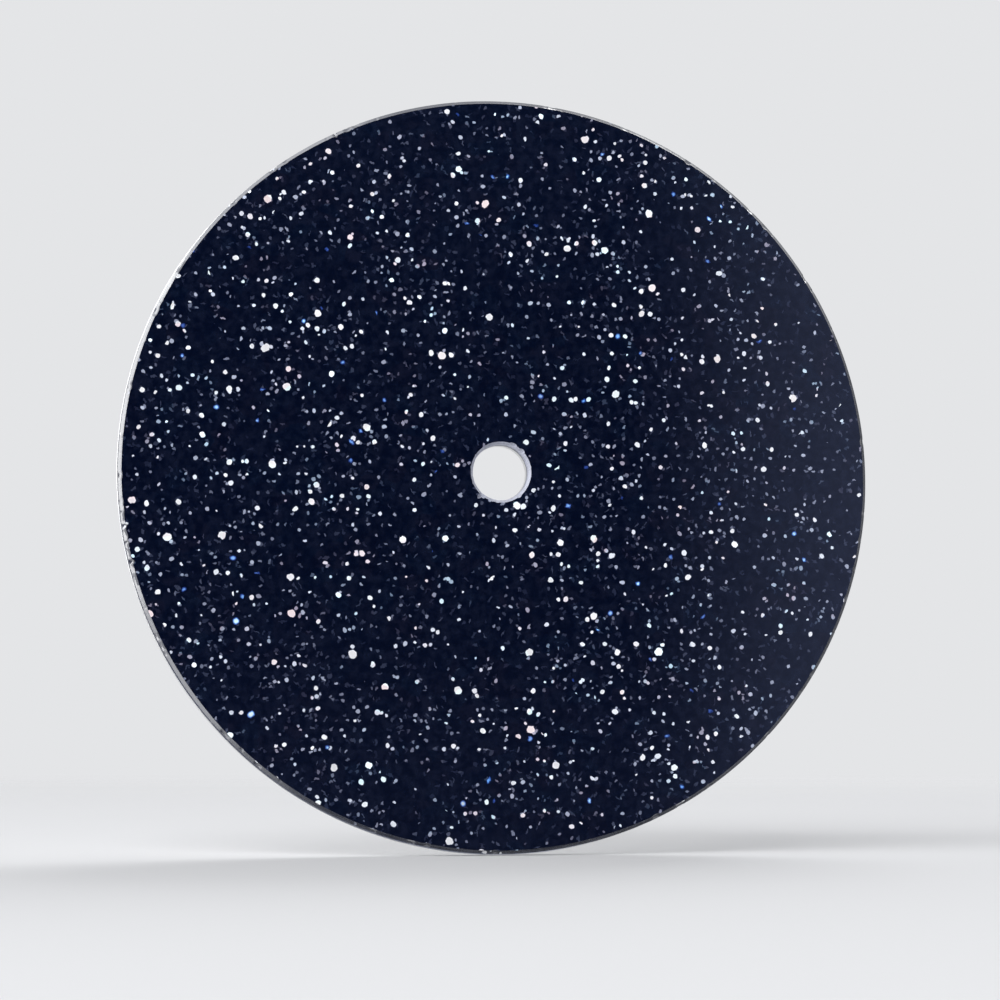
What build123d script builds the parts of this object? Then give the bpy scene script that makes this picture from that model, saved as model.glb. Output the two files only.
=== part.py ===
from build123d import *
import math
import os

# A blank glass watch dial: a wafer of blue aventurine glass bonded to a plated metal
# plate, which carries four feet soldered to its back. All sizes are in millimetres and
# all angles in degrees.
#
# The dial stands upright. Its face looks along -Y, twelve o'clock is +Z and three
# o'clock is +X as seen from the front. The origin is on the axis of the centre hole, in
# the plane where the back of the plate seats, so depths behind that plane are +Y.

# base plate
plate_diameter = 28.5
plate_thickness = 0.40
plate_bore_diameter = 2.08
plate_edge_break = 0.04

# adhesive film between the plate and the glass, set back from both edges
film_thickness = 0.04
film_setback = 0.20

# aventurine wafer, ground a little smaller than the plate and with a wider hole
glass_thickness = 0.40
glass_rim_margin = 0.05
glass_bore_margin = 0.01
rim_bevel_width = 0.13
rim_bevel_depth = 0.11
bore_bevel_width = 0.10
bore_bevel_depth = 0.08

# feet, one pair for a crown at three o'clock and one for a crown at 3.8 o'clock
foot_diameter = 0.70
foot_length = 2.20
foot_tip_bevel = 0.10
foot_circle_radius = 12.20
foot_bearings = (53.0, 236.0)
degrees_per_hour = 30.0
crown_hours_later = 0.8

# the shallow spot face each foot stands in, and the solder round the foot
spot_diameter = 1.60
spot_depth = 0.12
solder_toe_margin = 0.11
solder_height = 0.30
solder_hollow_share = 0.15

# places that follow from the sizes
seat_y = 0
plate_front_y = seat_y - plate_thickness
glass_back_y = plate_front_y - film_thickness
glass_front_y = glass_back_y - glass_thickness
plate_radius = plate_diameter / 2
plate_bore_radius = plate_bore_diameter / 2
glass_radius = plate_radius - glass_rim_margin
glass_bore_radius = plate_bore_radius + glass_bore_margin
foot_radius = foot_diameter / 2
spot_radius = spot_diameter / 2
spot_floor_y = seat_y - spot_depth


def turned(outline):
    """Turn a closed outline of (radius, y) points into a solid round the Y axis."""
    section = make_face(Polyline(*outline, close=True))
    return revolve(section, axis=Axis.Y)


def foot_places():
    """The four foot axes as (x, z), each bearing counted clockwise from twelve o'clock."""
    crown_turn = crown_hours_later * degrees_per_hour
    places = []
    for turn in (0, crown_turn):
        for bearing in foot_bearings:
            angle = math.radians(bearing + turn)
            places.append((foot_circle_radius * math.sin(angle), foot_circle_radius * math.cos(angle)))
    return places


def aventurine_wafer():
    """Flat glass disc with a centre hole, bevelled at the rim and round the hole."""
    return turned([
        (glass_bore_radius, glass_back_y),
        (glass_radius, glass_back_y),
        (glass_radius, glass_front_y + rim_bevel_depth),
        (glass_radius - rim_bevel_width, glass_front_y),
        (glass_bore_radius + bore_bevel_width, glass_front_y),
        (glass_bore_radius, glass_front_y + bore_bevel_depth),
    ])


def adhesive_film():
    """Thin bond layer that stops short of the rim and of the hole."""
    inner_radius = glass_bore_radius + film_setback
    outer_radius = glass_radius - film_setback
    return turned([
        (inner_radius, plate_front_y),
        (outer_radius, plate_front_y),
        (outer_radius, glass_back_y),
        (inner_radius, glass_back_y),
    ])


def base_plate():
    """Metal disc with a centre hole, broken back edges and a spot face for each foot."""
    disc = turned([
        (plate_bore_radius, plate_front_y),
        (plate_radius, plate_front_y),
        (plate_radius, seat_y - plate_edge_break),
        (plate_radius - plate_edge_break, seat_y),
        (plate_bore_radius + plate_edge_break, seat_y),
        (plate_bore_radius, seat_y - plate_edge_break),
    ])
    spot = turned([
        (0, spot_floor_y),
        (spot_radius, spot_floor_y),
        (spot_radius, seat_y),
        (0, seat_y),
    ])
    for x, z in foot_places():
        disc -= Pos(x, 0, z) * spot
    return disc


def dial_foot():
    """Round pin that stands on the floor of its spot face, bevelled at the tip."""
    tip_y = seat_y + foot_length
    return turned([
        (0, spot_floor_y),
        (foot_radius, spot_floor_y),
        (foot_radius, tip_y - foot_tip_bevel),
        (foot_radius - foot_tip_bevel, tip_y),
        (0, tip_y),
    ])


def foot_solder():
    """Hollow-sided ring of solder that climbs the foot from the floor of the spot face."""
    toe_radius = spot_radius - solder_toe_margin
    toe = (toe_radius, spot_floor_y)
    pull = (
        foot_radius + (toe_radius - foot_radius) * solder_hollow_share,
        spot_floor_y + solder_height * solder_hollow_share,
    )
    top = (foot_radius, spot_floor_y + solder_height)
    root = (foot_radius, spot_floor_y)
    outline = [Line(root, toe), Bezier(toe, pull, top), Line(top, root)]
    return revolve(make_face(outline), axis=Axis.Y)


def main():
    os.makedirs("parts", exist_ok=True)
    export_step(aventurine_wafer(), "parts/aventurine_wafer.step")
    export_step(adhesive_film(), "parts/adhesive_film.step")
    export_step(base_plate(), "parts/base_plate.step")
    foot = dial_foot()
    solder = foot_solder()
    for number, (x, z) in enumerate(foot_places(), start=1):
        export_step(Pos(x, 0, z) * foot, f"parts/dial_foot_{number}.step")
        export_step(Pos(x, 0, z) * solder, f"parts/foot_solder_{number}.step")


main()
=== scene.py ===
import itertools
import math
import random

import bmesh
import bpy
from mathutils import Matrix, Vector, noise


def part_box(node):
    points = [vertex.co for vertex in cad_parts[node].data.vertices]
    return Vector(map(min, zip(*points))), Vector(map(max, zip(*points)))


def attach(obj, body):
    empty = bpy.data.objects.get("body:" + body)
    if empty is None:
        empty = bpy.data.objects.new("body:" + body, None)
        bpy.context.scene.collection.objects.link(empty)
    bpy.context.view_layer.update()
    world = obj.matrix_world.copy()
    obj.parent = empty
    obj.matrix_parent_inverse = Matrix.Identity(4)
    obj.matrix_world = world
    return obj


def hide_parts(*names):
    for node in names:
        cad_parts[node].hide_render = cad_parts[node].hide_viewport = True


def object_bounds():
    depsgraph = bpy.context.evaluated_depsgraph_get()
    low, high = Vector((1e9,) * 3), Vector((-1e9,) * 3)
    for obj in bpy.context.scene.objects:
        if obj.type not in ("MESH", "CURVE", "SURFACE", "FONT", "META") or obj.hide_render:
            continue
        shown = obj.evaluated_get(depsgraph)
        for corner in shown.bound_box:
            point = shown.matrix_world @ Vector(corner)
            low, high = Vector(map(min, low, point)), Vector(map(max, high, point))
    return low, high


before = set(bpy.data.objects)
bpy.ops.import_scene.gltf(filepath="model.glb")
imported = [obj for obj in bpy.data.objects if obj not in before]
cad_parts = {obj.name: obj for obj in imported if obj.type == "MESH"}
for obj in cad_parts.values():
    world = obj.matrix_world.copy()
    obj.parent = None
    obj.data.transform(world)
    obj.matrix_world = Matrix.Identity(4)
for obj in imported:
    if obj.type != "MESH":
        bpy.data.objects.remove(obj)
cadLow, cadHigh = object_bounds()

# A round watch dial of dark blue aventurine glass, bonded to a silver-plated plate with four
# soldered copper feet. The face looks along -Y, with twelve o'clock up. Sizes here are in
# millimetres and angles in degrees, and each mesh is made at its own place in the frame.

mm = 0.001
seamGap = 1e-7           # metres, closes the seams of a turned shape
flatGap = 1e-4           # millimetres, heights nearer than this are one level


# Shader helpers: arithmetic on a wire adds Math nodes, and node() adds any other node.

class Wire:
    def __init__(self, paint, socket):
        self.paint = paint
        self.socket = socket

    def math(self, operation, first, second=0.0):
        return self.paint.node("Math", {"operation": operation}, {0: first, 1: second})

    def __add__(self, other):
        return self.math("ADD", self, other)

    def __radd__(self, other):
        return self.math("ADD", other, self)

    def __sub__(self, other):
        return self.math("SUBTRACT", self, other)

    def __rsub__(self, other):
        return self.math("SUBTRACT", other, self)

    def __mul__(self, other):
        return self.math("MULTIPLY", self, other)

    def __rmul__(self, other):
        return self.math("MULTIPLY", other, self)

    def __truediv__(self, other):
        return self.math("DIVIDE", self, other)

    def __rtruediv__(self, other):
        return self.math("DIVIDE", other, self)

    def __pow__(self, other):
        return self.math("POWER", self, other)

    def __rpow__(self, other):
        return self.math("POWER", other, self)

    def __lt__(self, other):
        return self.math("LESS_THAN", self, other)

    def __gt__(self, other):
        return self.math("GREATER_THAN", self, other)

    def most(self, other):
        return self.math("MAXIMUM", self, other)

    def least(self, other):
        return self.math("MINIMUM", self, other)

    def out(self, name):
        return Wire(self.paint, self.socket.node.outputs[name])


class Paint:
    def __init__(self, owner):
        self.owner = owner
        owner.use_nodes = True
        self.tree = owner.node_tree
        self.tree.nodes.clear()

    def node(self, kind, settings={}, values={}, output=0):
        made = self.tree.nodes.new("ShaderNode" + kind)
        for key, value in settings.items():
            if key == "stops":
                ramp = made.color_ramp
                while len(ramp.elements) < len(value):
                    ramp.elements.new(1.0)
                for element, (position, colour) in zip(ramp.elements, value):
                    element.position = position
                    element.color = (*colour, 1.0)
            else:
                setattr(made, key, value)
        for key, value in values.items():
            if isinstance(value, Wire):
                self.tree.links.new(value.socket, made.inputs[key])
            else:
                made.inputs[key].default_value = value
        return Wire(self, made.outputs[output]) if made.outputs else None

    def vector(self, operation, *inputs):
        return self.node("VectorMath", {"operation": operation}, dict(enumerate(inputs)))

    def scaled(self, vector, factor):
        return self.node("VectorMath", {"operation": "SCALE"}, {0: vector, "Scale": factor})

    # a colour as a vector about zero
    def centred(self, vector):
        return self.vector("SUBTRACT", vector, (0.5, 0.5, 0.5))

    # the point being shaded, in millimetres
    def place(self):
        return self.scaled(self.node("TexCoord", output="Object"), 1 / mm)

    def split(self, vector):
        parts = self.node("SeparateXYZ", {}, {"Vector": vector})
        return parts.out("X"), parts.out("Y"), parts.out("Z")

    def join(self, x, y, z):
        return self.node("CombineXYZ", {}, {"X": x, "Y": y, "Z": z})

    def noise(self, vector, scale, detail=2.0, distortion=0.0, output="Fac"):
        values = {"Vector": vector, "Scale": scale, "Detail": detail, "Distortion": distortion}
        return self.node("TexNoise", {}, values, output)

    # the distance from the Y axis, and noise drawn out along rings round it: across is how
    # many waves a millimetre over the rings has, along how many a radian of a ring has
    def rings(self, place, across, along):
        x, y, z = self.split(place)
        radius = (x * x + z * z) ** 0.5
        spot = self.join(x / radius * along, radius * across + y * across, z / radius * along)
        return radius, self.noise(spot, 1.0, detail=4.0)

    def fade(self, value, start, end, low=0.0, high=1.0):
        values = {"Value": value, "From Min": start, "From Max": end, "To Min": low, "To Max": high}
        return self.node("MapRange", {"interpolation_type": "SMOOTHSTEP"}, values)

    def blend(self, factor, first, second, way="MIX"):
        ends = [end if isinstance(end, Wire) else (*end, 1.0) for end in (first, second)]
        settings = {"data_type": "RGBA", "blend_type": way}
        return self.node("Mix", settings, {0: factor, 6: ends[0], 7: ends[1]}, 2)

    def ramp(self, value, stops):
        return self.node("ValToRGB", {"stops": stops}, {"Fac": value})

    def bump(self, height, depth):
        return self.node("Bump", {}, {"Height": height, "Strength": 1.0, "Distance": depth * mm})

    def surface(self, values):
        shader = self.node("BsdfPrincipled", {}, values)
        self.node("OutputMaterial", {}, {"Surface": shader})
        return self.owner


def newPaint(name):
    return Paint(bpy.data.materials.new(name))


# a share from 0 to 1, a number or a wire, as a value between two limits
def between(limits, share):
    least, most = limits
    return least + (most - least) * share


# Mesh helpers

# turns a line of (radius, y) points about the Y axis; cuts gives a side more loops.
# A fine turn is spun over a small sector, which is then doubled until it closes.
def turned(outline, steps, closed=True, cuts={}, doublings=0):
    shape = bmesh.new()
    corners = [shape.verts.new((radius * mm, y * mm, 0.0)) for radius, y in outline]
    ends = corners[1:] + corners[:1] if closed else corners[1:]
    sides = [shape.edges.new(pair) for pair in zip(corners, ends)]
    for side, count in cuts.items():
        bmesh.ops.subdivide_edges(shape, edges=[sides[side]], cuts=count)
    sector = math.tau / 2 ** doublings
    bmesh.ops.spin(shape, geom=shape.verts[:] + shape.edges[:], cent=(0, 0, 0), axis=(0, 1, 0),
                   dvec=(0, 0, 0), angle=sector, steps=steps // 2 ** doublings, use_merge=doublings == 0)
    for doubling in range(doublings):
        copy = bmesh.ops.duplicate(shape, geom=shape.verts[:] + shape.edges[:] + shape.faces[:])["geom"]
        verts = [item for item in copy if isinstance(item, bmesh.types.BMVert)]
        turn = Matrix.Rotation(sector * 2 ** doubling, 3, "Y")
        bmesh.ops.rotate(shape, verts=verts, cent=(0, 0, 0), matrix=turn)
    bmesh.ops.remove_doubles(shape, verts=shape.verts[:], dist=seamGap)
    return shape


# points round a corner's centre, from one angle to another
def roundCorner(radius, y, size, start, end, count=4):
    turns = [math.radians(start + (end - start) * step / count) for step in range(count + 1)]
    return [(radius + size * math.cos(turn), y + size * math.sin(turn)) for turn in turns]


def moveTo(shape, centre):
    bmesh.ops.translate(shape, verts=shape.verts[:], vec=(centre[0] * mm, 0, centre[1] * mm))


def shadeSmooth(shape, sharpAngle):
    bmesh.ops.recalc_face_normals(shape, faces=shape.faces[:])
    for face in shape.faces:
        face.smooth = True
    for edge in shape.edges:
        if len(edge.link_faces) == 2:
            first, second = edge.link_faces
            sameFinish = first.material_index == second.material_index
            edge.smooth = sameFinish and edge.calc_face_angle(0.0) < math.radians(sharpAngle)


def addPiece(name, shape, node, materials):
    openEdges = sum(not edge.is_manifold for edge in shape.edges)
    mesh = bpy.data.meshes.new(name)
    shape.to_mesh(mesh)
    shape.free()
    for material in materials:
        mesh.materials.append(material)
    piece = bpy.data.objects.new(name, mesh)
    bpy.context.scene.collection.objects.link(piece)
    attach(piece, "root")
    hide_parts(node)
    print("made", name, "with", len(mesh.polygons), "faces and", openEdges, "open edges")


# noise from 0 to 1 at a point of the model, in waves of a given length; layers differ
def waves(point, length, layer):
    return 0.5 + 0.5 * noise.noise(Vector((point.x, layer * mm, point.z)) / (length * mm))


# What the frame says of its nodes, in millimetres

def discSize(node):
    low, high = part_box(node)
    return min(-low.x, high.x, -low.z, high.z) / mm, low.y / mm, high.y / mm


def pinSize(node):
    low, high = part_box(node)
    middle = (low + high) / 2 / mm
    return (middle.x, middle.z), (high.x - low.x) / 2 / mm, low.y / mm, high.y / mm


glassRadius, faceY, glassBackY = discSize("aventurine_wafer")
filmRadius, filmFrontY, filmBackY = discSize("adhesive_film")
plateRadius, plateFrontY, seatY = discSize("base_plate")
footSizes = {number: pinSize(f"dial_foot_{number}") for number in (1, 2, 3, 4)}
solderSizes = {number: pinSize(f"foot_solder_{number}") for number in (1, 2, 3, 4)}
spotFloorY = footSizes[1][2]
print("frame read: glass radius", round(glassRadius, 3), "and", len(footSizes), "feet")


# Aventurine glass: flat metal flakes of several sizes, frozen in dark blue glass

flakes = dict(
    # One row for each kind, from the largest at the surface to the faint ones deep down. A
    #     # cell of that width holds one flake at most. Radius, stretch and level, its brightness, go
    #     # from the first number to the second; the level is painted glint, each flake's sparkle
    #     # painted into its colour as a fixed brightness. Wander is how far its outline strays, share
    #     # how many cells are filled, and blue how many of the flakes glint blue.
    kinds=[
        dict(cell=1.40, radius=(0.118, 0.160), stretch=(1.0, 1.2), level=(1.00, 1.00),
             wander=0.09, share=0.125, blue=0.00),
        dict(cell=0.84, radius=(0.078, 0.112), stretch=(1.0, 1.3), level=(0.90, 1.00),
             wander=0.06, share=0.245, blue=0.02),
        dict(cell=0.62, radius=(0.056, 0.088), stretch=(1.0, 1.4), level=(0.60, 1.00),
             wander=0.06, share=0.330, blue=0.02),
        dict(cell=0.48, radius=(0.041, 0.069), stretch=(1.0, 1.6), level=(0.44, 0.98),
             wander=0.08, share=0.320, blue=0.03),
        dict(cell=0.38, radius=(0.038, 0.070), stretch=(1.0, 2.2), level=(0.22, 0.66),
             wander=0.14, share=0.360, blue=0.02),
        dict(cell=0.60, radius=(0.042, 0.064), stretch=(2.4, 4.5), level=(0.14, 0.34),
             wander=0.20, share=0.340, blue=0.0),
        dict(cell=0.40, radius=(0.048, 0.086), stretch=(1.2, 3.2), level=(0.09, 0.24),
             wander=0.22, share=0.480, blue=0.0),
    ],
    kindShift=(31.7, 17.9),  # keeps the cells of one kind off those of the next
    soft=0.012,              # how far a flake's edge fades to each side
    glow=0.045,              # the same for the blue ones, whose painted glint is palest in the middle
    spread=1.0,              # how unevenly the flakes are strewn
    wanderScale=9.0,         # waves in a millimetre of the wander in their outlines
    tones=[                  # colour by brightness, the flakes' painted glint up to white
        (0.00, (0.0012, 0.0030, 0.0125)),
        (0.16, (0.0150, 0.0200, 0.0450)),
        (0.34, (0.0590, 0.0690, 0.1120)),
        (0.55, (0.1900, 0.2100, 0.2950)),
        (0.78, (0.5100, 0.5550, 0.6850)),
        (0.90, (0.8600, 0.9200, 1.0000)),
        (0.97, (1.0000, 1.0000, 1.0000)),
    ],
    blues=[                  # the same for the few that glint blue
        (0.00, (0.0010, 0.0026, 0.0200)),
        (0.30, (0.0320, 0.0700, 0.3000)),
        (0.60, (0.1900, 0.3900, 0.8400)),
        (0.84, (0.4800, 0.7700, 1.0000)),
        (0.98, (0.8000, 0.9500, 1.0000)),
    ],
    blueFull=0.1,            # blueness at which the blue has taken over
    tint=0.15,               # how far the flakes differ in warmth
    coolLoss=(0.4, 0.5),     # how much of that the green and the blue give way
    clumpScale=0.36,         # waves in a millimetre of the crowding
    clumpRange=(0.3, 0.7),
    clump=1.00,              # how much more crowded some parts are than others
    mottleScale=4.2,
    mottleRange=(0.34, 0.72),
    mottle=0.042,            # brightness of the milky mottle between the flakes
    tiltCell=0.55,
    tilt=0.5,                # how far the flakes lean from the face
    metallic=0.20,
    metalRange=(0.3, 0.8),   # brightness over which a flake turns metallic
    roughness=(0.60, 0.34),  # between the flakes, on them
    smoothRange=(0.2, 0.8),  # brightness over which it turns from one to the other
    coat=0.8,
    coatRoughness=0.02,
    glassIor=1.5,
)


# brightness and blueness of one kind of flake, on a flat pattern or all through the glass;
# # the brightness is painted glint
def flakeLayer(paint, spot, drift, crowd, kind, number, solid):
    cell = kind["cell"]
    shiftX, shiftY = (shift * number for shift in flakes["kindShift"])
    spot = paint.vector("ADD", spot, paint.scaled(drift, kind["wander"]))
    scaled = paint.vector("MULTIPLY_ADD", spot, (1 / cell, 1 / cell, 1 / cell), (shiftX, shiftY, 0.0))
    settings = {"voronoi_dimensions": "3D" if solid else "2D"}
    values = {"Vector": scaled, "Scale": 1.0, "Randomness": flakes["spread"]}
    centre = paint.node("TexVoronoi", settings, values, "Position")
    turn, filled, blueDraw = paint.split(centre.out("Color"))
    draws = paint.node("TexWhiteNoise", {}, {"Vector": centre}, "Color")
    sizeDraw, stretchDraw, levelDraw = paint.split(draws)

    away = paint.scaled(paint.vector("SUBTRACT", scaled, centre), cell)
    turning = {"Vector": away, "Angle": turn * math.tau}
    along, across, deep = paint.split(paint.node("VectorRotate", {"rotation_type": "Z_AXIS"}, turning))
    stretch = between(kind["stretch"], stretchDraw)
    squares = along * along / stretch + across * across * stretch
    if solid:
        squares = squares + deep * deep
    inward = between(kind["radius"], sizeDraw) - squares ** 0.5
    level = (filled < crowd * kind["share"]) * between(kind["level"], levelDraw)
    brightness = paint.fade(inward, -flakes["soft"], flakes["soft"]) * level
    blueness = paint.fade(inward, -flakes["glow"], flakes["glow"]) * (blueDraw < kind["blue"]) * level
    return brightness, blueness


# all kinds together; the wander keeps the flakes from being plain discs
def flakePattern(paint, place, kinds, solid=False):
    x, y, z = paint.split(place)
    drift = paint.centred(paint.noise(place, flakes["wanderScale"], detail=1.0, output="Color"))
    flat = paint.join(x, z, 0.0)
    spot = paint.join(x, z, y) if solid else flat
    swing = flakes["clump"] / 2
    crowd = paint.noise(flat, flakes["clumpScale"])
    crowd = paint.fade(crowd, *flakes["clumpRange"], 1 - swing, 1 + swing)
    brightness = blueness = None
    for number, kind in enumerate(kinds, start=1):
        layer, blue = flakeLayer(paint, spot, drift, crowd, kind, number, solid)
        brightness = brightness.most(layer) if brightness else layer
        blueness = blueness.most(blue) if blueness else blue
    return brightness, blueness


# the flakes' painted glint, turned into base colour
def flakeColour(paint, brightness, blueness):
    plain = paint.ramp(brightness, flakes["tones"])
    blue = paint.ramp(blueness, flakes["blues"])
    return paint.blend(paint.fade(blueness, 0.0, flakes["blueFull"]), plain, blue)


def polishedAventurine():
    paint = newPaint("polishedAventurine")
    place = paint.place()
    brightness, blueness = flakePattern(paint, place, flakes["kinds"])
    mottle = paint.fade(paint.noise(place, flakes["mottleScale"]), *flakes["mottleRange"])
    # the flakes' brightness is painted glint in the base colour, with the milky mottle between them
    colour = flakeColour(paint, brightness.most(mottle * flakes["mottle"]), blueness)

    # each patch of glass leans its flakes its own way, and gives them a warmer or cooler tone
    patch = paint.node("TexVoronoi", {}, {"Vector": place, "Scale": 1 / flakes["tiltCell"]}, "Color")
    lean = paint.centred(patch)
    warmth = (paint.split(lean)[0] * 2.0) ** 3.0 * flakes["tint"]
    greenLoss, blueLoss = flakes["coolLoss"]
    tint = paint.join(1.0 + warmth, 1.0 - warmth * greenLoss, 1.0 - warmth * blueLoss)
    colour = paint.vector("MULTIPLY", colour, tint)
    straight = paint.node("NewGeometry", output="Normal")
    leaning = paint.vector("ADD", straight, paint.scaled(lean, brightness * flakes["tilt"]))
    return paint.surface({
        "Base Color": colour,
        "Metallic": paint.fade(brightness, *flakes["metalRange"], 0.0, flakes["metallic"]),
        "Roughness": paint.fade(brightness, *flakes["smoothRange"], *flakes["roughness"]),
        "Specular IOR Level": 0.0,
        "Normal": paint.vector("NORMALIZE", leaning),
        "Coat Weight": flakes["coat"],
        "Coat Roughness": flakes["coatRoughness"],
        "Coat IOR": flakes["glassIor"],
    })


# the bevels and the wall: nearly polished at the rim, frosted round the bore, with short
# grinding marks on both
ground = dict(
    rim=dict(body=(0.014, 0.018, 0.036), frost=(0.048, 0.052, 0.074)),
    bore=dict(body=(0.300, 0.315, 0.385), frost=(0.430, 0.448, 0.540)),
    markScale=9.0,
    markTurn=5.0,
    markDepth=0.0020,
    pitScale=26.0,
    pitDepth=0.0025,
    patchScale=1.6,
    frostShares=(0.40, 0.35, 0.25),      # of the marks, the pits and the patches
    frostRange=(0.34, 0.62),
    roughness=(0.20, 0.30),
    boreRougher=0.28,
    coat=0.9,                # clear polish, on the rim alone
    coatRoughness=0.2,
    coatIor=1.8,
    flakesShow=0.9,
    showRange=(0.2, 0.8),
)


def groundAventurine():
    paint = newPaint("groundAventurine")
    place = paint.place()
    radius, marks = paint.rings(place, ground["markScale"], ground["markTurn"])
    pits = paint.noise(place, ground["pitScale"], detail=3.0)
    patches = paint.noise(place, ground["patchScale"], detail=3.0)
    markShare, pitShare, patchShare = ground["frostShares"]
    frosting = marks * markShare + pits * pitShare + patches * patchShare
    frosting = paint.fade(frosting, *ground["frostRange"])
    atBore = radius < glassRadius / 2
    body = paint.blend(atBore, ground["rim"]["body"], ground["bore"]["body"])
    frost = paint.blend(atBore, ground["rim"]["frost"], ground["bore"]["frost"])
    colour = paint.blend(frosting, body, frost)
    # the flakes seen in the bevels and walls, with the same painted glint in their colour
    brightness, blueness = flakePattern(paint, place, flakes["kinds"][1:5], solid=True)
    shown = paint.fade(brightness, *ground["showRange"], 0.0, ground["flakesShow"])
    colour = paint.blend(shown, colour, flakeColour(paint, brightness, blueness))
    height = marks * (ground["markDepth"] / ground["pitDepth"]) + pits
    return paint.surface({
        "Base Color": colour,
        "Roughness": paint.fade(frosting, 0.0, 1.0, *ground["roughness"]) + atBore * ground["boreRougher"],
        "Specular IOR Level": 1.0,
        "Normal": paint.bump(height, ground["pitDepth"]),
        "Coat Weight": ground["coat"] - atBore * ground["coat"],
        "Coat Roughness": ground["coatRoughness"],
        "Coat IOR": ground["coatIor"],
    })


# the wafer's back, seen only where the bond line ends
bonded = dict(
    dark=(0.010, 0.014, 0.040),
    pale=(0.060, 0.066, 0.110),
    lapScale=14.0,
    lapDepth=0.002,
    roughness=(0.35, 0.55),
)


def bondedAventurine():
    paint = newPaint("bondedAventurine")
    lapping = paint.noise(paint.place(), bonded["lapScale"], detail=4.0)
    return paint.surface({
        "Base Color": paint.blend(lapping, bonded["dark"], bonded["pale"]),
        "Roughness": between(bonded["roughness"], lapping),
        "Normal": paint.bump(lapping, bonded["lapDepth"]),
    })


wafer = dict(
    boreRadius=1.05,
    rimBevel=(0.122, 0.11),      # width across the face, depth down the wall
    boreBevel=(0.088, 0.08),
    steps=1984,
    doublings=5,
    cuts={1: 3, 2: 4, 4: 4, 5: 2},               # more loops on the walls and the bevels
    sharpAngle=40,
    rimStray=[(0.010, 0.9), (0.005, 0.12)],      # how far an edge strays, in waves how long
    boreStray=[(0.010, 0.9), (0.014, 0.24)],
    strayLayers=(1, 20, 40),     # noise for the edge at the face, the edge at the wall, the depth
    strayStep=3,
    wallStray=0.5,               # shares of the straying and of a chip that the wall has
    wallChip=0.3,
    bevelWaves=dict(most=0.004, length=0.10, layer=60, across=9),
    wallWaves=dict(most=0.012, length=0.20, layer=80, across=5),
    chipSink=0.45,               # how far a chip hollows the bevel, as a share of its depth
    rimChips=dict(count=48, depth=(0.008, 0.045), width=(0.04, 0.18), crowding=0.25),
    boreChips=dict(count=9, depth=(0.010, 0.035), width=(0.04, 0.12), crowding=0.0),
    rough=(167, 6),              # where the rim's chips crowd, and how widely
    smallness=2.2,               # the higher, the fewer large chips
    widthSpread=(0.7, 1.3),
    # the larger nicks at the face's edges, each as (angle, depth, half its width)
    rimNicks=[
        (243.5, 0.07, 0.05),
        (171.0, 0.06, 0.07),
        (168.5, 0.05, 0.05),
        (165.5, 0.07, 0.09),
        (301.0, 0.06, 0.12),
    ],
    boreNicks=[
        (131.5, 0.19, 0.07),
        (126.0, 0.07, 0.08),
        (315.0, 0.05, 0.10),
        (294.0, 0.05, 0.13),
        (52.0, 0.04, 0.08),
    ],
    seed=41,
)


# chips as (angle, half its width in radians, depth), the larger nicks first; angles run
# clockwise from three o'clock, and crowding is the share in the rough stretch
def drawChips(dice, kind, radius, nicks=[]):
    chips = [(math.radians(angle), width / radius, depth) for angle, depth, width in nicks]
    for _ in range(kind["count"]):
        angle = dice.uniform(-math.pi, math.pi)
        if dice.random() < kind["crowding"]:
            angle = math.radians(dice.gauss(*wafer["rough"]))
        size = dice.random() ** wafer["smallness"]
        depth = between(kind["depth"], size)
        least, most = kind["width"]
        width = least + (most - least) * size * dice.uniform(*wafer["widthSpread"])
        chips.append((angle, width / radius, depth))
    return chips


# how deep the chips are at each of the turn's steps
def chipProfile(chips, steps):
    depths = [0.0] * steps
    for angle, halfWidth, depth in chips:
        first = math.floor((angle - halfWidth) / math.tau * steps)
        last = math.ceil((angle + halfWidth) / math.tau * steps)
        for step in range(first, last + 1):
            offset = (step / steps * math.tau - angle) / halfWidth
            if abs(offset) < 1:
                depths[step % steps] = max(depths[step % steps], depth * (1 - offset * offset) ** 0.5)
    return depths


def strayAt(point, strays, layer):
    return sum(most * waves(point, length, layer + wafer["strayStep"] * order)
               for order, (most, length) in enumerate(strays))


def unevenAt(point, kind, share):
    return kind["most"] * waves(point, kind["length"], kind["layer"] + kind["across"] * share)


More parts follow.
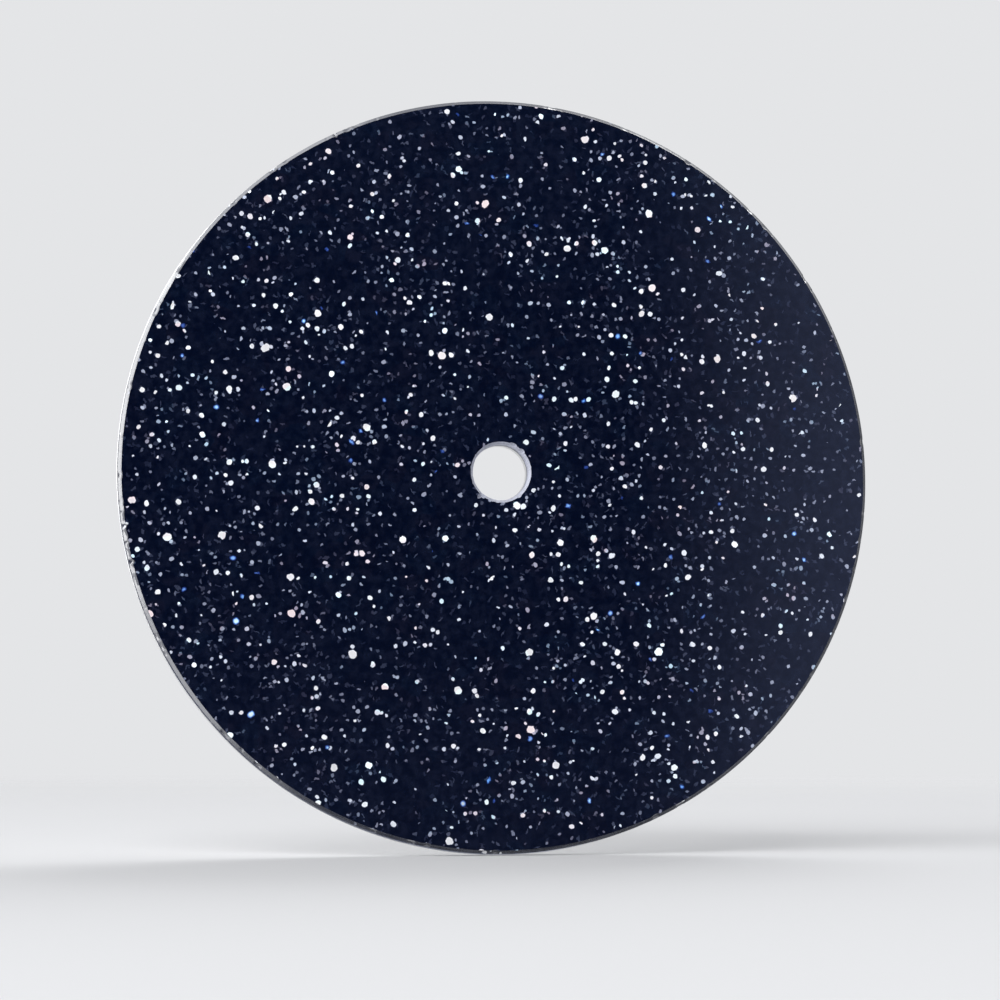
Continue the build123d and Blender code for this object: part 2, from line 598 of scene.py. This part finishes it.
def makeWafer():
    dice = random.Random(wafer["seed"])
    steps = wafer["steps"]
    boreRadius = wafer["boreRadius"]
    rimWidth, rimDepth = wafer["rimBevel"]
    boreWidth, boreDepth = wafer["boreBevel"]
    outline = [
        (boreRadius, glassBackY),
        (glassRadius, glassBackY),
        (glassRadius, faceY + rimDepth),
        (glassRadius - rimWidth, faceY),
        (boreRadius + boreWidth, faceY),
        (boreRadius, faceY + boreDepth),
    ]
    shape = turned(outline, steps, cuts=wafer["cuts"], doublings=wafer["doublings"])

    # each edge has its own line: the rim at the face, the rim at the wall, the same at the bore
    rimFace = chipProfile(drawChips(dice, wafer["rimChips"], glassRadius, wafer["rimNicks"]), steps)
    rimWall = chipProfile(drawChips(dice, wafer["rimChips"], glassRadius), steps)
    boreFace = chipProfile(drawChips(dice, wafer["boreChips"], boreRadius, wafer["boreNicks"]), steps)
    boreWall = chipProfile(drawChips(dice, wafer["boreChips"], boreRadius), steps)

    for vert in shape.verts:
        point = vert.co.copy()
        radius = math.hypot(point.x, point.z) / mm
        y = point.y / mm
        atRim = radius > glassRadius - rimWidth - flatGap
        atBore = radius < boreRadius + boreWidth + flatGap
        if not (atRim or atBore) or y > glassBackY - flatGap:
            continue
        step = round(math.atan2(-point.z, point.x) / math.tau * steps) % steps
        if atRim:
            edgeRadius, width, depth, outward = glassRadius, rimWidth, rimDepth, 1
            faceChip, wallChip = rimFace[step], rimWall[step]
            strays = wafer["rimStray"]
        else:
            edgeRadius, width, depth, outward = boreRadius, boreWidth, boreDepth, -1
            faceChip, wallChip = boreFace[step], boreWall[step]
            strays = wafer["boreStray"]
        faceStray, wallStray, depthStray = (strayAt(point, strays, layer) for layer in wafer["strayLayers"])
        faceIn = width + faceStray + faceChip
        wallIn = wallStray * wafer["wallStray"] + wallChip * wafer["wallChip"]
        wallDown = depth + depthStray + wallChip
        if y < faceY + depth + flatGap:
            share = (y - faceY) / depth
            slope = math.hypot(width, depth)
            bulge = 4 * share * (1 - share)      # 0 at the bevel's edges and 1 between them
            hollow = wafer["chipSink"] * max(faceChip, wallChip)
            sunk = bulge * (unevenAt(point, wafer["bevelWaves"], share) + hollow)
            inward = faceIn + (wallIn - faceIn) * share + sunk * depth / slope
            newY = faceY + wallDown * share + sunk * width / slope
        else:
            share = (y - faceY - depth) / (glassBackY - faceY - depth)
            inward = wallIn * (1 - share) + unevenAt(point, wafer["wallWaves"], share)
            newY = faceY + wallDown + (glassBackY - faceY - wallDown) * share
        newRadius = edgeRadius - outward * inward
        vert.co = Vector((point.x * newRadius / radius, newY * mm, point.z * newRadius / radius))

    # the face is polished, the back is bonded and the rest is ground
    for face in shape.faces:
        heights = [vert.co.y / mm for vert in face.verts]
        if max(heights) < faceY + flatGap:
            face.material_index = 0
        elif min(heights) > glassBackY - flatGap:
            face.material_index = 2
        else:
            face.material_index = 1
    shadeSmooth(shape, wafer["sharpAngle"])
    addPiece("aventurineWafer", shape, "aventurine_wafer",
             [polishedAventurine(), groundAventurine(), bondedAventurine()])


makeWafer()


# Adhesive film, set back from both edges, with a wavy edge and small bubbles

film = dict(
    boreRadius=1.25,
    steps=720,
    doublings=4,
    cuts={1: 2, 3: 2},
    sharpAngle=40,
    wander=0.12,
    waveLength=1.4,
    waveLayer=5,
    hazeScale=1.3,
    clear=(0.34, 0.33, 0.30),
    hazy=(0.24, 0.235, 0.225),
    bubbleCell=0.5,
    bubbleRange=(0.16, 0.10),
    bubble=(0.52, 0.51, 0.48),
    bubbleShow=0.6,
    hazeDepth=0.5,               # against a bubble's
    bumpDepth=0.004,
    roughness=(0.12, 0.32),
    coat=0.3,
    coatRoughness=0.1,
)


def curedAdhesive():
    paint = newPaint("curedAdhesive")
    place = paint.place()
    haze = paint.noise(place, film["hazeScale"], detail=4.0)
    bubble = paint.node("TexVoronoi", {}, {"Vector": place, "Scale": 1 / film["bubbleCell"]}, "Distance")
    bubble = paint.fade(bubble, *film["bubbleRange"])
    colour = paint.blend(haze, film["clear"], film["hazy"])
    return paint.surface({
        "Base Color": paint.blend(bubble * film["bubbleShow"], colour, film["bubble"]),
        "Roughness": between(film["roughness"], haze),
        "Normal": paint.bump(bubble + haze * film["hazeDepth"], film["bumpDepth"]),
        "Coat Weight": film["coat"],
        "Coat Roughness": film["coatRoughness"],
    })


def makeFilm():
    outline = [(film["boreRadius"], filmFrontY), (filmRadius, filmFrontY),
               (filmRadius, filmBackY), (film["boreRadius"], filmBackY)]
    shape = turned(outline, film["steps"], cuts=film["cuts"], doublings=film["doublings"])
    for vert in shape.verts:
        radius = math.hypot(vert.co.x, vert.co.z) / mm
        inward = film["wander"] * waves(vert.co, film["waveLength"], film["waveLayer"])
        newRadius = radius - inward if radius > filmRadius / 2 else radius + inward
        vert.co.x *= newRadius / radius
        vert.co.z *= newRadius / radius
    shadeSmooth(shape, film["sharpAngle"])
    addPiece("adhesiveFilm", shape, "adhesive_film", [curedAdhesive()])


makeFilm()


# Base plate: plated, with broken edges and a spot face under each foot

plate = dict(
    boreRadius=1.04,
    frontRound=0.035,
    backBreak=0.04,
    steps=1216,
    doublings=5,
    sharpAngle=24,
    spotRadius=0.80,
    spotBreak=0.02,
    spotSteps=96,
    silver=(0.80, 0.80, 0.79),
    shade=(0.62, 0.62, 0.63),
    toneRange=(0.30, 0.70),
    grainShare=0.7,              # of the turning lines in the tone, against the clouds
    grainLines=16.0,             # turning lines in a millimetre
    grainTurn=2.2,
    grainDepth=0.0011,
    fineScale=22.0,
    fineDepth=0.6,               # against a turning line's
    cloudScale=0.45,
    scratches=[(24, 0.70), (-51, 0.71), (83, 0.72)],     # bearing, and how rare they are
    scratchScale=(0.16, 0.16, 11.0),
    scratchSoft=0.05,
    scratchBend=0.25,
    scratchDepth=0.0022,
    speck=(0.34, 0.33, 0.33),
    speckScale=6.0,
    speckRange=(0.66, 0.74),
    speckShow=0.35,
    brass=(0.66, 0.52, 0.30),    # where the plating is worn off the back edge
    brassShow=0.8,
    wornScale=3.0,
    wornRange=(0.55, 0.68),
    wornWidth=0.16,
    wornHeight=(0.10, 0.02),     # below the seat, where wear starts and where it is full
    flux=(0.30, 0.22, 0.13),     # stains close round the feet
    fluxScale=4.0,
    fluxRange=(0.42, 0.60),
    fluxReach=(1.05, 0.75),
    fluxShow=0.55,
    fluxDull=0.6,                # how much less metallic it is
    heat=[                       # tint by distance from the foot, in shares of heatReach
        (0.00, (0.80, 0.76, 0.68)),
        (0.34, (0.86, 0.76, 0.58)),
        (0.52, (0.80, 0.66, 0.52)),
        (0.68, (0.66, 0.64, 0.72)),
        (0.84, (0.84, 0.86, 0.90)),
        (1.00, (1.00, 1.00, 1.00)),
    ],
    heatReach=2.3,
    heatWander=0.5,
    heatWanderScale=1.7,
    roughness=0.24,
    rougher=dict(grain=0.14, cloud=0.04, scratch=0.10, flux=0.15),
)


# distance to the nearest foot, over the plate's back
def nearestFoot(paint, x, z):
    nearest = None
    for (footX, footZ), _, _, _ in footSizes.values():
        across, up = x - footX, z - footZ
        distance = (across * across + up * up) ** 0.5
        nearest = nearest.least(distance) if nearest else distance
    return nearest


# long thin scratches, each set running one way
def scratches(paint, place):
    marks = None
    for bearing, start in plate["scratches"]:
        turning = {"Vector": place, "Angle": math.radians(bearing)}
        long = paint.node("VectorRotate", {"rotation_type": "Y_AXIS"}, turning)
        long = paint.vector("MULTIPLY", long, plate["scratchScale"])
        lines = paint.noise(long, 1.0, detail=1.0, distortion=plate["scratchBend"])
        lines = paint.fade(lines, start, start + plate["scratchSoft"])
        marks = marks.most(lines) if marks else lines
    return marks


def silverPlating():
    paint = newPaint("silverPlating")
    place = paint.place()
    x, y, z = paint.split(place)
    radius, grain = paint.rings(place, plate["grainLines"], plate["grainTurn"])
    cloud = paint.noise(place, plate["cloudScale"], detail=4.0)
    marks = scratches(paint, place)
    tone = cloud * (1 - plate["grainShare"]) + grain * plate["grainShare"]
    colour = paint.blend(paint.fade(tone, *plate["toneRange"]), plate["shade"], plate["silver"])

    foot = nearestFoot(paint, x, z)
    wander = paint.noise(place, plate["heatWanderScale"], detail=3.0) - 0.5
    foot = foot + wander * plate["heatWander"]
    heat = paint.ramp(foot / plate["heatReach"], plate["heat"])
    colour = paint.blend(1.0, colour, heat, "MULTIPLY")
    flux = paint.fade(paint.noise(place, plate["fluxScale"], detail=3.0), *plate["fluxRange"])
    flux = flux * paint.fade(foot, *plate["fluxReach"])
    colour = paint.blend(flux * plate["fluxShow"], colour, plate["flux"])

    worn = paint.fade(paint.noise(place, plate["wornScale"], detail=4.0), *plate["wornRange"])
    worn = worn * paint.fade(radius, plateRadius - plate["wornWidth"], plateRadius)
    wornFrom, wornTo = plate["wornHeight"]
    worn = worn * paint.fade(y, seatY - wornFrom, seatY - wornTo)
    colour = paint.blend(worn * plate["brassShow"], colour, plate["brass"])
    speck = paint.fade(paint.noise(place, plate["speckScale"], detail=3.0), *plate["speckRange"])
    colour = paint.blend(speck * plate["speckShow"], colour, plate["speck"])

    fine = paint.noise(place, plate["fineScale"]) * plate["fineDepth"]
    height = grain - marks * (plate["scratchDepth"] / plate["grainDepth"]) + fine
    rougher = plate["rougher"]
    roughness = plate["roughness"] + grain * rougher["grain"] + cloud * rougher["cloud"]
    roughness = roughness + marks * rougher["scratch"] + flux * rougher["flux"]
    return paint.surface({
        "Base Color": colour,
        "Metallic": 1.0 - flux * plate["fluxDull"],
        "Roughness": roughness,
        "Normal": paint.bump(height, plate["grainDepth"]),
    })


def makePlate():
    bore, edge, breakSize = plate["boreRadius"], plate["frontRound"], plate["backBreak"]
    outline = roundCorner(bore + breakSize, seatY - breakSize, breakSize, 90, 180)
    outline += [(bore, plateFrontY)]
    outline += roundCorner(plateRadius - edge, plateFrontY + edge, edge, -90, 0)
    outline += roundCorner(plateRadius - breakSize, seatY - breakSize, breakSize, 0, 90)
    shape = turned(outline, plate["steps"], closed=False, doublings=plate["doublings"])
    edges = [side for side in shape.edges if side.is_boundary]

    # the front and the back are filled flat, round a ring for each spot face
    loops = []
    spot, lip = plate["spotRadius"], plate["spotBreak"]
    for centre, _, _, _ in footSizes.values():
        at = Matrix.Translation((centre[0] * mm, seatY * mm, centre[1] * mm))
        at = at @ Matrix.Rotation(math.pi / 2, 4, "X")
        ring = bmesh.ops.create_circle(shape, segments=plate["spotSteps"],
                                       radius=(spot + lip) * mm, matrix=at)
        loop = list({side for vert in ring["verts"] for side in vert.link_edges})
        loops.append((centre, loop))
        edges += loop
    bmesh.ops.triangle_fill(shape, use_beauty=True, edges=edges, normal=(0, 1, 0))

    # the spot faces: a broken lip, the wall, the floor
    for (centreX, centreZ), loop in loops:
        for newRadius, y in ((spot, seatY - lip), (spot, spotFloorY)):
            made = bmesh.ops.extrude_edge_only(shape, edges=loop)["geom"]
            verts = [item for item in made if isinstance(item, bmesh.types.BMVert)]
            loop = [item for item in made if isinstance(item, bmesh.types.BMEdge)]
            for vert in verts:
                away = Vector((vert.co.x - centreX * mm, 0, vert.co.z - centreZ * mm))
                away = away.normalized() * newRadius * mm
                vert.co = Vector((centreX * mm + away.x, y * mm, centreZ * mm + away.z))
        bmesh.ops.contextual_create(shape, geom=loop)
    shadeSmooth(shape, plate["sharpAngle"])
    addPiece("basePlate", shape, "base_plate", [silverPlating()])


makePlate()


# Feet: drawn copper wire, faced at the tip and tinned at the root

foot = dict(
    tipBevel=0.10,
    tipSoft=0.025,
    dome=0.02,
    steps=96,
    cuts={1: 12, 3: 3},          # more loops on the side and the tip
    sharpAngle=30,
    wander=0.006,
    wanderLength=0.6,
    copper=(0.74, 0.40, 0.26),
    dark=(0.42, 0.20, 0.12),
    toneRange=(0.36, 0.66),
    lineScale=(24.0, 0.7, 24.0),
    lineDepth=0.0020,
    patchScale=2.2,
    patchShare=0.6,              # of the patches in the tone, against the lines
    tinned=(0.66, 0.65, 0.63),
    tinnedTo=0.36,
    tinSoft=0.06,
    tinWander=0.3,
    tinWanderScale=3.5,
    spot=(0.20, 0.10, 0.07),
    spotScale=9.0,
    spotRange=(0.62, 0.72),
    spotShow=0.4,
    roughness=0.26,
    rougher=dict(lines=0.12, patches=0.14),
)


def drawnCopper():
    paint = newPaint("drawnCopper")
    place = paint.place()
    x, y, z = paint.split(place)
    lines = paint.noise(paint.vector("MULTIPLY", place, foot["lineScale"]), 1.0, detail=3.0)
    patches = paint.noise(place, foot["patchScale"], detail=4.0)
    tone = patches * foot["patchShare"] + lines * (1 - foot["patchShare"])
    colour = paint.blend(paint.fade(tone, *foot["toneRange"]), foot["dark"], foot["copper"])
    wander = paint.noise(place, foot["tinWanderScale"]) - 0.5
    tinEdge = foot["tinnedTo"] + wander * foot["tinWander"]
    tinned = paint.fade(y - tinEdge, foot["tinSoft"], -foot["tinSoft"])
    colour = paint.blend(tinned, colour, foot["tinned"])
    spots = paint.fade(paint.noise(place, foot["spotScale"]), *foot["spotRange"])
    colour = paint.blend(spots * foot["spotShow"], colour, foot["spot"])
    rougher = foot["rougher"]
    return paint.surface({
        "Base Color": colour,
        "Metallic": 1.0,
        "Roughness": foot["roughness"] + lines * rougher["lines"] + patches * rougher["patches"],
        "Normal": paint.bump(lines + spots * foot["spotShow"], foot["lineDepth"]),
    })


def makeFoot(number, material):
    centre, radius, rootY, tipY = footSizes[number]
    outline = [
        (0, rootY),
        (radius, rootY),
        (radius, tipY - foot["tipBevel"]),
        (radius - foot["tipBevel"], tipY - foot["dome"]),
        (0, tipY),
    ]
    shape = turned(outline, foot["steps"], closed=False, cuts=foot["cuts"])
    levels = (tipY - foot["tipBevel"], tipY - foot["dome"])
    rings = [side for side in shape.edges for level in levels
             if all(abs(vert.co.y / mm - level) < flatGap for vert in side.verts)]
    bmesh.ops.bevel(shape, geom=rings, offset=foot["tipSoft"] * mm, offset_type="OFFSET", affect="EDGES",
                    segments=3, profile=0.5, material=-1)
    moveTo(shape, centre)
    for vert in shape.verts:
        away = Vector((vert.co.x - centre[0] * mm, 0, vert.co.z - centre[1] * mm))
        if spotFloorY + flatGap < vert.co.y / mm < tipY - flatGap:
            uneven = noise.noise(vert.co / (foot["wanderLength"] * mm)) * 0.5 + 0.5
            vert.co -= away * (foot["wander"] * uneven / radius)
    shadeSmooth(shape, foot["sharpAngle"])
    addPiece(f"dialFoot{number}", shape, f"dial_foot_{number}", [material])


# Solder: a hollow-sided ring that climbs the foot

solder = dict(
    hollow=0.15,
    curvePoints=12,
    steps=128,
    sharpAngle=50,
    climb=0.10,                  # how much lower it may stand in places
    climbLength=0.50,
    climbLayer=3,
    toe=0.07,                    # how far its toe may draw back
    toeLength=0.45,
    toeLayer=11,
    ripple=0.006,
    rippleLength=0.13,
    tuck=0.003,                  # how far it runs into the foot
    bright=(0.72, 0.72, 0.71),
    dull=(0.42, 0.42, 0.44),
    toneRange=(0.36, 0.64),
    flowScale=2.6,
    flowSwirl=1.2,
    flowShare=0.5,               # of the flow in the tone, against the skin
    flowDepth=2.0,               # against the skin's
    skinScale=9.0,
    bumpDepth=0.0045,
    roughness=(0.20, 0.42),
    flux=(0.26, 0.19, 0.11),
    fluxScale=4.5,
    fluxRange=(0.60, 0.70),
    fluxShow=0.5,
)


def tinSolder():
    paint = newPaint("tinSolder")
    place = paint.place()
    flow = paint.noise(place, solder["flowScale"], detail=3.0, distortion=solder["flowSwirl"])
    skin = paint.noise(place, solder["skinScale"], detail=4.0)
    tone = flow * solder["flowShare"] + skin * (1 - solder["flowShare"])
    colour = paint.blend(paint.fade(tone, *solder["toneRange"]), solder["dull"], solder["bright"])
    flux = paint.fade(paint.noise(place, solder["fluxScale"], detail=3.0), *solder["fluxRange"])
    flux = flux * solder["fluxShow"]
    return paint.surface({
        "Base Color": paint.blend(flux, colour, solder["flux"]),
        "Metallic": 1.0 - flux,
        "Roughness": between(solder["roughness"], skin),
        "Normal": paint.bump(flow * solder["flowDepth"] + skin, solder["bumpDepth"]),
    })


def makeSolder(number, material):
    centre, toeRadius, floorY, topY = solderSizes[number]
    footRadius = footSizes[number][1]
    inner = footRadius - solder["tuck"]
    pullRadius = footRadius + (toeRadius - footRadius) * solder["hollow"]
    pullY = floorY + (topY - floorY) * solder["hollow"]
    outline = [(inner, floorY)]
    for point in range(solder["curvePoints"] + 1):
        share = point / solder["curvePoints"]
        toeWeight, pullWeight, topWeight = (1 - share) ** 2, 2 * share * (1 - share), share ** 2
        outline.append((toeWeight * toeRadius + pullWeight * pullRadius + topWeight * footRadius,
                        toeWeight * floorY + pullWeight * pullY + topWeight * topY))
    outline.append((inner, topY))
    shape = turned(outline, solder["steps"])
    for vert in shape.verts:
        point = vert.co.copy()
        radius = math.hypot(point.x, point.z) / mm
        rise = (point.y / mm - floorY) / (topY - floorY)
        out = max(0.0, (radius - footRadius) / (toeRadius - footRadius))
        ownPoint = point + Vector((number * mm, 0, 0))       # makes each ring different
        lower = solder["climb"] * waves(ownPoint, solder["climbLength"], solder["climbLayer"]) * rise
        drawn = solder["toe"] * waves(ownPoint, solder["toeLength"], solder["toeLayer"]) * out
        rippling = noise.noise(Vector(point) / (solder["rippleLength"] * mm))
        newRadius = radius - drawn + solder["ripple"] * rippling * 4 * rise * (1 - rise)
        newY = point.y / mm - lower
        vert.co = Vector((point.x * newRadius / radius, newY * mm, point.z * newRadius / radius))
    moveTo(shape, centre)
    shadeSmooth(shape, solder["sharpAngle"])
    addPiece(f"footSolder{number}", shape, f"foot_solder_{number}", [material])


copper, tin = drawnCopper(), tinSolder()
for number in footSizes:
    makeFoot(number, copper)
    makeSolder(number, tin)


# Studio: a pale floor that fades into the backdrop, a dark card in front for the polished
# face to mirror, smaller cards at the sides for the bevels, soft lamps and the camera

studio = dict(
    floorRadius=2000.0,
    floorSides=64,
    floorColour=(0.70, 0.705, 0.72),
    fadeFrom=60.0,
    fadeTo=260.0,
    ambient=0.35,
    ambientColour=(0.97, 0.98, 1.0),
    backdrop=0.80,
    lamps=[
        dict(name="sideLamp", bearing=-73, height=12, distance=400, size=(280, 460), watts=1.7),
        dict(name="frontLamp", bearing=-25, height=38, distance=450, size=(300, 240), watts=1.15),
        dict(name="backLamp", bearing=150, height=42, distance=450, size=(300, 300), watts=0.9),
    ],
    faceCard=dict(x=(-520.0, 170.0), y=(-300.0, -300.0), z=(-320.0, 220.0)),
    faceTone=(0.010, 0.011, 0.016),
    glows=[                      # its paler parts: axis, where each starts, where it is full, colour
        ("x", 66.0, 114.0, (0.58, 0.67, 1.04)),
        ("z", 25.0, -32.0, (0.060, 0.070, 0.130)),
        ("z", 50.0, 100.0, (0.030, 0.045, 0.090)),
    ],
    rimCards=[                   # two dim cards, then the bright ones
        dict(name="rightCard", tone=0.25, x=(400.0, 400.0), y=(-20.0, 190.0), z=(-420.0, 200.0)),
        dict(name="footCard", tone=0.12, x=(-180.0, 300.0), y=(-110.0, 90.0), z=(-320.0, -320.0)),
        dict(name="lowLeftCard", tone=2.2, x=(-400.0, -400.0), y=(-130.0, 60.0), z=(-420.0, -135.0)),
        dict(name="highLeftCard", tone=3.0, x=(-400.0, -400.0), y=(-130.0, 60.0), z=(305.0, 420.0)),
        dict(name="topLeftCard", tone=2.2, x=(-400.0, -90.0), y=(-60.0, 110.0), z=(420.0, 420.0)),
        dict(name="topCard", tone=0.9, x=(-90.0, 150.0), y=(-20.0, 150.0), z=(420.0, 420.0)),
    ],
)
camera = dict(bearing=-9.22, height=-6.18, distance=94.3, lens=90.6, sensor=36.0,
              aimDown=1.05, aimLeft=0.04, near=1.0, far=10000.0)


# unit vector from the dial towards a bearing, counted from the front, and a height
def direction(bearing, height):
    turn, lift = math.radians(bearing), math.radians(height)
    return Vector((math.sin(turn) * math.cos(lift), -math.cos(turn) * math.cos(lift), math.sin(lift)))


def makeWorld():
    world = bpy.data.worlds.new("studioLight")
    paint = Paint(world)
    rays = paint.node("LightPath")
    seen = rays.out("Is Camera Ray") + rays.out("Is Glossy Ray") + rays.out("Is Transmission Ray")
    strength = between((studio["ambient"], studio["backdrop"]), seen.least(1.0))
    light = paint.node("Background", {}, {"Color": (*studio["ambientColour"], 1.0), "Strength": strength})
    paint.node("OutputWorld", {}, {"Surface": light})
    bpy.context.scene.world = world


def addStage(name, shape, material):
    mesh = bpy.data.meshes.new(name)
    shape.to_mesh(mesh)
    shape.free()
    mesh.materials.append(material)
    made = bpy.data.objects.new(name, mesh)
    bpy.context.scene.collection.objects.link(made)
    return made


def makeFloor():
    paint = newPaint("paleFloor")
    x, y, z = paint.split(paint.place())
    far = paint.fade((x * x + y * y) ** 0.5, studio["fadeFrom"], studio["fadeTo"])
    near = paint.node("BsdfDiffuse", {}, {"Color": (*studio["floorColour"], 1.0)})
    clear = paint.node("BsdfTransparent")
    paint.node("OutputMaterial", {}, {"Surface": paint.node("MixShader", {}, {0: far, 1: near, 2: clear})})
    shape = bmesh.new()
    bmesh.ops.create_circle(shape, cap_ends=True, segments=studio["floorSides"],
                            radius=studio["floorRadius"] * mm, matrix=Matrix.Translation((0, 0, cadLow.z)))
    floor = addStage("floor", shape, paint.owner)
    floor.visible_glossy = False         # the face would mirror it at the foot of the dial


def glowing(name, tone):
    paint = newPaint(name)
    light = paint.node("Emission", {}, {"Color": (*studio["ambientColour"], 1.0), "Strength": tone})
    paint.node("OutputMaterial", {}, {"Surface": light})
    return paint.owner


# dark, but paler towards its right end, its foot and its top
def cardForFace():
    paint = newPaint("faceCard")
    x, y, z = paint.split(paint.place())
    tone = studio["faceTone"]
    for axis, start, full, colour in studio["glows"]:
        glow = paint.fade(x if axis == "x" else z, start, full)
        tone = paint.blend(glow, tone, colour, "ADD")
    paint.node("OutputMaterial", {}, {"Surface": paint.node("Emission", {}, {"Color": tone})})
    return paint.owner


# cards are seen only in reflections; each is flat in one axis
def addCard(name, material, x, y, z):
    shape = bmesh.new()
    for corner in itertools.product(x, y, z):
        shape.verts.new(Vector(corner) * mm)
    bmesh.ops.remove_doubles(shape, verts=shape.verts[:], dist=seamGap)
    bmesh.ops.contextual_create(shape, geom=shape.verts[:])
    made = addStage(name, shape, material)
    made.visible_camera = made.visible_diffuse = made.visible_transmission = made.visible_shadow = False


def makeLamp(lamp):
    data = bpy.data.lights.new(lamp["name"], "AREA")
    data.shape = "RECTANGLE"
    data.size, data.size_y = (side * mm for side in lamp["size"])
    data.energy = lamp["watts"]
    made = bpy.data.objects.new(lamp["name"], data)
    towards = direction(lamp["bearing"], lamp["height"])
    made.location = towards * lamp["distance"] * mm
    made.rotation_euler = towards.to_track_quat("Z", "Y").to_euler()
    bpy.context.scene.collection.objects.link(made)


def makeCamera():
    data = bpy.data.cameras.new("camera")
    data.lens, data.sensor_width = camera["lens"], camera["sensor"]
    data.clip_start, data.clip_end = camera["near"] * mm, camera["far"] * mm
    made = bpy.data.objects.new("camera", data)
    back = direction(camera["bearing"], camera["height"])
    facing = back.to_track_quat("Z", "Y")
    middle = Vector((0, faceY * mm, 0))
    made.location = middle + back * camera["distance"] * mm
    aim = middle + facing @ Vector((-camera["aimLeft"] * mm, -camera["aimDown"] * mm, 0))
    made.rotation_euler = (made.location - aim).to_track_quat("Z", "Y").to_euler()
    bpy.context.scene.collection.objects.link(made)
    bpy.context.scene.camera = made


makeWorld()
makeFloor()
addCard("faceCard", cardForFace(), **studio["faceCard"])
for card in studio["rimCards"]:
    addCard(card["name"], glowing(card["name"], card["tone"]), card["x"], card["y"], card["z"])
for lamp in studio["lamps"]:
    makeLamp(lamp)
makeCamera()
bpy.context.scene.view_settings.view_transform = "Standard"
print("studio ready")
